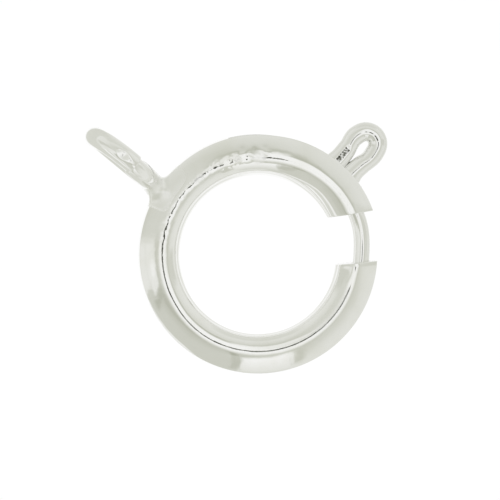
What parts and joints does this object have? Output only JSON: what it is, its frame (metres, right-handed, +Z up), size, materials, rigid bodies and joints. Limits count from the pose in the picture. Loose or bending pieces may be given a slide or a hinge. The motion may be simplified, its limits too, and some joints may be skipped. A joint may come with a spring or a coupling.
{
  "type": "spring ring clasp",
  "caption": "Round necklace clasp: a hollow ring whose gap is closed by a sprung bolt with a thumb trigger, and a connector loop.",
  "frame": {"origin": "centre of the ring, at the middle of the tube's height", "axes": "+Z up from the surface the clasp lies on, +X and +Y along it; the ring's own axis leans by 6.0 degrees because the connector loop props one side up"},
  "size_m": [0.0176, 0.0147, 0.0053],
  "materials": {
    "silver": "polished silver with fine wear marks",
    "spring_steel": "drawn spring wire"
  },
  "bodies": {
    "ring": {"ring_tube": "silver", "spring": "spring_steel"},
    "catch": {"bolt": "silver"}
  },
  "joints": [
    {"name": "bolt_slide", "type": "hinge", "parent": "ring", "child": "catch", "pos_m": [0, 0, 0], "axis": [0.0964, -0.0399, 0.9945], "range_deg": [0, 50], "stiffness_Nm_per_rad": 0.011, "springref_deg": -20.05, "deforming": ["spring"]}
  ]
}
